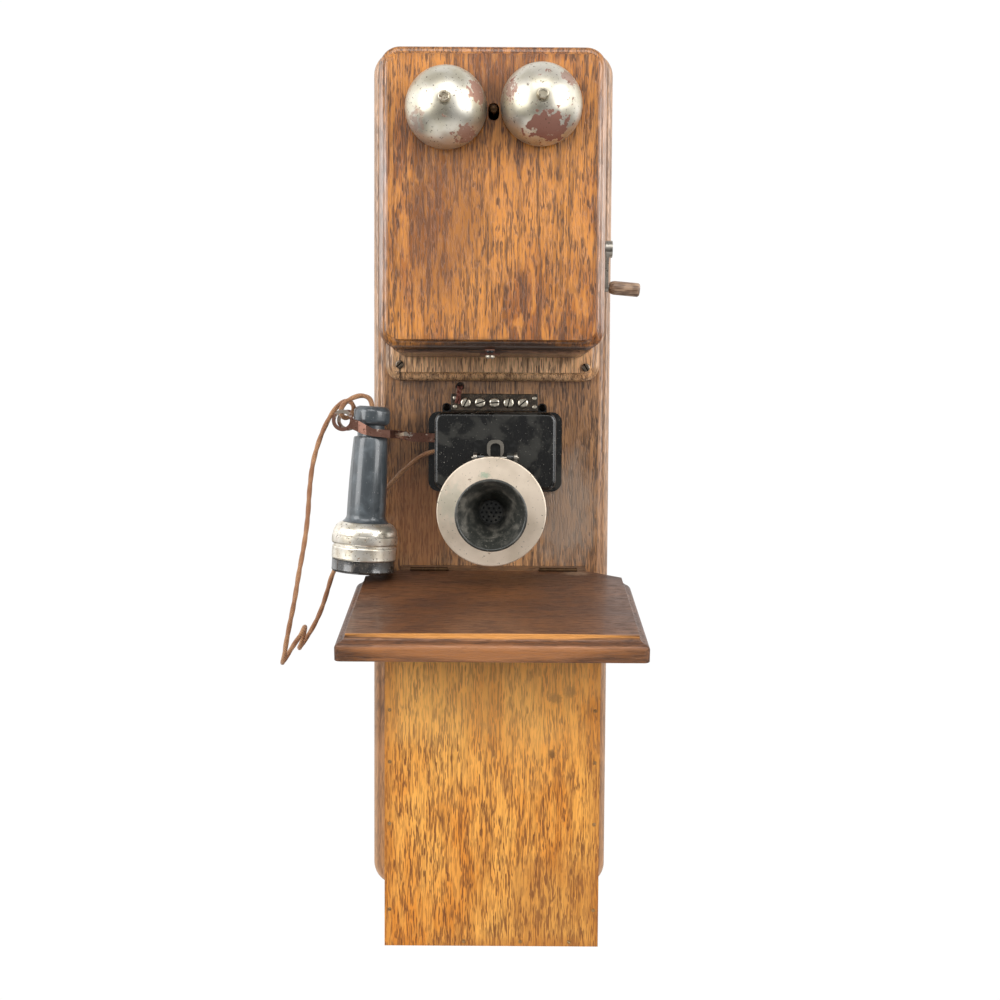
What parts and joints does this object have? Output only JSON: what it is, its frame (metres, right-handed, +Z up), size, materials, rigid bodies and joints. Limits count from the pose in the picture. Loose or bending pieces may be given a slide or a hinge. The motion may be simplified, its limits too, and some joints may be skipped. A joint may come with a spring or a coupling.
{
  "type": "wall telephone",
  "caption": "Two-box wooden wall telephone with gongs, crank, tilting transmitter, hung receiver, sloping shelf and battery box.",
  "frame": {"origin": "centre of the backboard's back face, on the wall", "axes": "+X across the board to the viewer's right, +Y into the wall, +Z up; the front faces -Y"},
  "size_m": [0.3334, 0.2292, 0.816],
  "materials": {
    "oak": "old varnish, worn",
    "worn_nickel": "worn nickel plate",
    "copper_strap": "worn plate over copper",
    "blued_steel": "dull",
    "brass": "tarnished",
    "black_japan": "dusty gloss",
    "ebonite": "satin",
    "dark_fibre": "matt",
    "turned_wood": "worn paint",
    "wound_wire": "cotton wrap",
    "cell_paper": "card tube",
    "braid": "cotton braid"
  },
  "bodies": {
    "cabinet": {"backboard": "oak", "backplate": "oak", "box_left_side": "oak", "box_right_side": "oak", "box_top": "oak", "box_bottom": "oak", "wood_screws": "worn_nickel", "fixed_hinge_leaves": "brass", "hinge_pins": "blued_steel", "crank_bushing": "worn_nickel", "generator_frame": "brass", "generator_magnets": "blued_steel", "case_base": "black_japan", "case_cover": "black_japan", "terminal_strip": "dark_fibre", "terminal_screws": "worn_nickel", "induction_coil": "wound_wire", "hook_pivot_pin": "blued_steel", "hook_spring": "brass", "contact_springs": "brass", "transmitter_bracket": "worn_nickel", "shelf_rail": "oak", "battery_box_front": "oak", "battery_box_sides": "oak", "battery_box_bottom": "oak", "box_nails": "blued_steel", "dry_cells": "cell_paper", "line_wires": "braid"},
    "front_door": {"door": "oak", "door_hinge_leaves": "brass", "door_lock_tab": "worn_nickel", "door_screws": "worn_nickel", "gong_left": "worn_nickel", "gong_right": "worn_nickel", "gong_posts": "worn_nickel", "gong_nuts": "worn_nickel", "ringer_frame": "blued_steel", "ringer_coils": "wound_wire"},
    "lock_screw": {"lock_screw": "worn_nickel"},
    "ringer": {"clapper": "brass", "ringer_armature": "blued_steel"},
    "crank": {"crank_shaft": "blued_steel", "crank_arm": "worn_nickel", "drive_gear": "brass"},
    "crank_knob": {"crank_handle": "turned_wood"},
    "generator": {"generator_armature": "blued_steel", "pinion": "brass"},
    "hook": {"hook_lever": "copper_strap"},
    "transmitter": {"transmitter_cup": "brass", "faceplate": "worn_nickel", "mouthpiece": "ebonite", "transmitter_diaphragm": "blued_steel"},
    "writing_shelf": {"shelf_lid": "oak", "shelf_hinge_leaves": "brass"},
    "receiver": {"receiver_shell": "ebonite", "receiver_collar": "worn_nickel", "ear_cap": "ebonite", "receiver_magnet": "blued_steel", "receiver_diaphragm": "blued_steel", "receiver_cord": "braid"}
  },
  "joints": [
    {"name": "door_hinge", "type": "hinge", "parent": "cabinet", "child": "front_door", "pos_m": [-0.094, -0.1184, 0.25], "axis": [0, 0, -1], "range_deg": [0, 110]},
    {"name": "lock_screw_travel", "type": "slide", "parent": "cabinet", "child": "lock_screw", "axis": [0, 0, -1], "range_m": [0, 0.006]},
    {"name": "clapper_swing", "type": "hinge", "parent": "front_door", "child": "ringer", "pos_m": [0.00125, -0.106, 0.2945], "axis": [0, 1, 0], "range_deg": [-4.2, 4.2], "stiffness_Nm_per_rad": 0.03},
    {"name": "crank_turn", "type": "hinge", "parent": "cabinet", "child": "crank", "pos_m": [0.09, -0.078, 0.2125], "axis": [1, 0, 0], "continuous": true},
    {"name": "generator_spin", "type": "hinge", "parent": "cabinet", "child": "generator", "pos_m": [0, -0.078, 0.1675], "axis": [1, 0, 0], "continuous": true},
    {"name": "crank_knob_spin", "type": "hinge", "parent": "crank", "child": "crank_knob", "pos_m": [0.1062, -0.078, 0.178], "axis": [0.9962, 0, -0.0872], "continuous": true},
    {"name": "hook_switch", "type": "hinge", "parent": "cabinet", "child": "hook", "pos_m": [-0.03, -0.044, 0.038], "axis": [0, 1, 0], "range_deg": [0, 14], "stiffness_Nm_per_rad": 0.25, "springref_deg": 28.65},
    {"name": "receiver_lift_off", "type": "slide", "parent": "hook", "child": "receiver", "axis": [-0.9397, 0, 0.342], "range_m": [0, 0.045]},
    {"name": "transmitter_tilt", "type": "hinge", "parent": "cabinet", "child": "transmitter", "pos_m": [0.0042, -0.076, 0.0205], "axis": [-1, 0, 0], "range_deg": [-5, 25]},
    {"name": "shelf_hinge", "type": "hinge", "parent": "cabinet", "child": "writing_shelf", "pos_m": [0.003, -0.03617, -0.0884], "axis": [-1, 0, 0], "range_deg": [0, 9]}
  ],
  "couplings": [
    {"joint": "generator_spin", "follows": "crank_turn", "ratio": -4}
  ]
}
